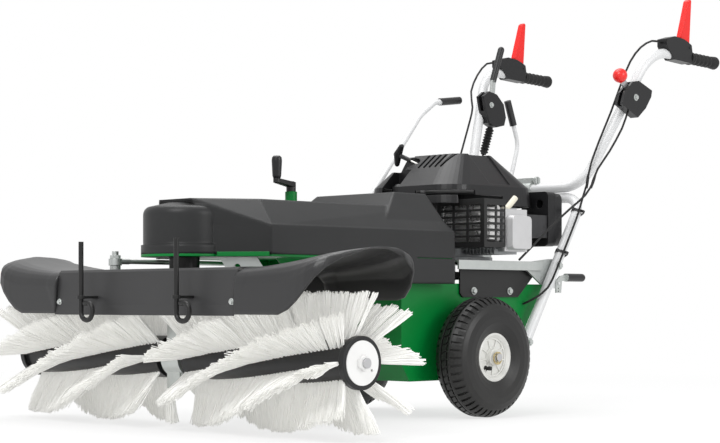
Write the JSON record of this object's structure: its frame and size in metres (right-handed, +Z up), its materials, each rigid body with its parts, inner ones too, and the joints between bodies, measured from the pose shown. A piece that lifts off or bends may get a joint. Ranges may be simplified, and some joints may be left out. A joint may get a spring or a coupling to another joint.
{
  "type": "walk-behind power brush sweeper",
  "caption": "Walk-behind petrol sweeper: wide two-part roller brush under a flared hood, boom with belt cover, engine on a wheeled chassis, tilting handlebar with levers.",
  "frame": {"origin": "on the ground under the middle of the machine's overall length and width", "axes": "+Z up, -Y to the brush at the front, +X to the machine's left as the operator stands"},
  "size_m": [1.285, 1.9442, 1.165],
  "materials": {
    "green_paint": "gloss paint",
    "charcoal_plastic": "satin moulded, fine texture",
    "black_plastic": "satin moulded",
    "zinc_steel": "zinc plated",
    "silver_paint": "satin silver paint",
    "black_paint": "satin paint",
    "cast_alloy": "as cast",
    "silencer_steel": "bright",
    "ivory_plastic": "satin",
    "tyre_rubber": "matt",
    "rubber": "matt",
    "rim_paint": "satin",
    "yellow_zinc": "yellow zinc",
    "bright_steel": "turned",
    "nylon": "filaments",
    "white_plastic": "gloss",
    "red_plastic": "gloss"
  },
  "bodies": {
    "chassis": {"chassis_body": "green_paint", "boom_frame": "green_paint", "lock_plate": "zinc_steel", "belt_cover": "charcoal_plastic", "engine_deck": "zinc_steel", "deck_side_plates": "black_paint", "hoop_frame": "silver_paint", "gear_case": "cast_alloy", "engine_block": "cast_alloy", "engine_cowl": "black_plastic", "muffler": "silencer_steel", "muffler_guard": "black_paint", "rocker_cover": "cast_alloy", "plug_boot": "ivory_plastic", "air_cleaner": "black_plastic", "crank_sleeve": "green_paint", "drive_belts": "rubber", "chassis_cables": "rubber"},
    "wheel_left": {"tyre_left": "tyre_rubber", "rim_left": "rim_paint", "axle_left": "yellow_zinc"},
    "wheel_right": {"tyre_right": "tyre_rubber", "rim_right": "rim_paint", "axle_right": "yellow_zinc"},
    "head": {"hood_sheet": "black_paint", "hood_end_left": "charcoal_plastic", "hood_end_right": "charcoal_plastic", "brush_gearbox": "zinc_steel", "swivel_hub": "black_paint", "hood_hooks": "black_paint"},
    "tie_rod": {"tie_rod": "zinc_steel"},
    "brush": {"brush_shaft": "bright_steel", "brush_cores": "black_plastic", "bristles_left": "nylon", "bristles_right": "nylon", "brush_end_plates": "white_plastic"},
    "front_pulley": {"drive_pulley": "bright_steel"},
    "jackshaft": {"jackshaft": "bright_steel"},
    "engine_pulley": {"engine_pulley": "bright_steel"},
    "crank": {"crank_handle": "black_paint"},
    "crank_grip": {"crank_grip": "black_plastic"},
    "strut": {"support_strut": "zinc_steel"},
    "fork": {"castor_fork": "zinc_steel"},
    "castor": {"castor_wheel": "rubber"},
    "handlebar": {"handlebar": "silver_paint", "handle_grips": "rubber", "lever_brackets": "black_plastic", "handlebar_clamp": "zinc_steel", "control_boxes": "black_plastic", "handlebar_cables": "rubber", "speed_bellows": "rubber"},
    "clutch_left": {"clutch_lever_left": "red_plastic"},
    "clutch_right": {"clutch_lever_right": "red_plastic"},
    "throttle": {"throttle_lever": "red_plastic"},
    "speed": {"speed_lever": "zinc_steel"},
    "swivel_lever": {"swivel_lever": "silver_paint"},
    "gear_lever": {"gear_lever": "silver_paint"},
    "release": {"release_lever": "black_plastic"},
    "starter": {"starter_handle": "black_plastic"},
    "cap": {"fuel_cap": "black_plastic"}
  },
  "joints": [
    {"name": "wheel_left_spin", "type": "hinge", "parent": "chassis", "child": "wheel_left", "pos_m": [0.245, 0.01, 0.155], "axis": [1, 0, 0], "continuous": true},
    {"name": "wheel_right_spin", "type": "hinge", "parent": "chassis", "child": "wheel_right", "pos_m": [-0.245, 0.01, 0.155], "axis": [1, 0, 0], "continuous": true},
    {"name": "head_swivel", "type": "hinge", "parent": "chassis", "child": "head", "pos_m": [0, -0.79, 0.39], "axis": [0, 0, 1], "range_deg": [-15, 15]},
    {"name": "tie_rod_pivot", "type": "hinge", "parent": "head", "child": "tie_rod", "pos_m": [-0.171, -0.864, 0.395], "axis": [0, 0, 1], "range_deg": [-14, 14]},
    {"name": "swivel_lever_tilt", "type": "hinge", "parent": "chassis", "child": "swivel_lever", "pos_m": [-0.232, 0.002, 0.492], "axis": [1, 0, 0], "range_deg": [-28.5, 28.5]},
    {"name": "engine_spin", "type": "hinge", "parent": "chassis", "child": "engine_pulley", "pos_m": [0, 0.16, 0.368], "axis": [0, 0, 1], "continuous": true},
    {"name": "jackshaft_spin", "type": "hinge", "parent": "chassis", "child": "jackshaft", "pos_m": [0, -0.155, 0.4], "axis": [0, 0, 1], "continuous": true},
    {"name": "front_pulley_spin", "type": "hinge", "parent": "chassis", "child": "front_pulley", "pos_m": [0, -0.79, 0.45], "axis": [0, 0, 1], "continuous": true},
    {"name": "brush_spin", "type": "hinge", "parent": "head", "child": "brush", "pos_m": [0, -0.79, 0.166], "axis": [1, 0, 0], "continuous": true},
    {"name": "crank_turn", "type": "hinge", "parent": "chassis", "child": "crank", "pos_m": [0, -0.442, 0.58], "axis": [0, 0, 1], "range_deg": [-1440, 1440]},
    {"name": "crank_grip_spin", "type": "hinge", "parent": "crank", "child": "crank_grip", "pos_m": [0.011, -0.50098, 0.62], "axis": [0, 0, 1], "continuous": true},
    {"name": "strut_slide", "type": "slide", "parent": "chassis", "child": "strut", "axis": [0, 0, 1], "range_m": [-0.0161, 0.0161]},
    {"name": "castor_swivel", "type": "hinge", "parent": "strut", "child": "fork", "pos_m": [0, -0.442, 0.19], "axis": [0, 0, 1], "continuous": true},
    {"name": "castor_roll", "type": "hinge", "parent": "fork", "child": "castor", "pos_m": [0, -0.408, 0.08], "axis": [1, 0, 0], "continuous": true},
    {"name": "handlebar_tilt", "type": "hinge", "parent": "chassis", "child": "handlebar", "pos_m": [0, 0.477, 0.588], "axis": [1, 0, 0], "range_deg": [-8, 10]},
    {"name": "clutch_left_squeeze", "type": "hinge", "parent": "handlebar", "child": "clutch_left", "pos_m": [0.3035, 0.825, 1.024], "axis": [-1, 0, 0], "range_deg": [0, 60], "stiffness_Nm_per_rad": 1.2, "springref_deg": -34.38},
    {"name": "clutch_right_squeeze", "type": "hinge", "parent": "handlebar", "child": "clutch_right", "pos_m": [-0.3035, 0.825, 1.024], "axis": [-1, 0, 0], "range_deg": [0, 60], "stiffness_Nm_per_rad": 1.2, "springref_deg": -34.38},
    {"name": "throttle_set", "type": "hinge", "parent": "handlebar", "child": "throttle", "pos_m": [0.293, 0.59, 0.866], "axis": [1, 0, 0], "range_deg": [-20, 20]},
    {"name": "speed_set", "type": "hinge", "parent": "handlebar", "child": "speed", "pos_m": [-0.246, 0.62, 0.892], "axis": [1, 0, 0], "range_deg": [-20, 20]},
    {"name": "gear_select", "type": "hinge", "parent": "chassis", "child": "gear_lever", "pos_m": [-0.02, 0.322, 0.422], "axis": [1, 0, 0], "range_deg": [-4, 10]},
    {"name": "release_turn", "type": "hinge", "parent": "chassis", "child": "release", "pos_m": [0.21, 0.36, 0.348], "axis": [1, 0, 0], "range_deg": [-20, 20]},
    {"name": "starter_pull", "type": "slide", "parent": "chassis", "child": "starter", "axis": [-0.8887, -0.2051, 0.4102], "range_m": [0, 0.5], "stiffness_N_per_m": 20, "springref_m": -0.4},
    {"name": "cap_turn", "type": "hinge", "parent": "chassis", "child": "cap", "pos_m": [-0.062, 0.024, 0.6], "axis": [0, 0, 1], "range_deg": [0, 90]}
  ],
  "couplings": [
    {"joint": "tie_rod_pivot", "follows": "head_swivel", "ratio": -0.915},
    {"joint": "swivel_lever_tilt", "follows": "head_swivel", "ratio": -1.87},
    {"joint": "jackshaft_spin", "follows": "engine_spin", "ratio": 0.73333},
    {"joint": "front_pulley_spin", "follows": "engine_spin", "ratio": 0.59913},
    {"joint": "brush_spin", "follows": "engine_spin", "ratio": -0.05991},
    {"joint": "strut_slide", "follows": "crank_turn", "m_per_rad": 0.00063662}
  ]
}
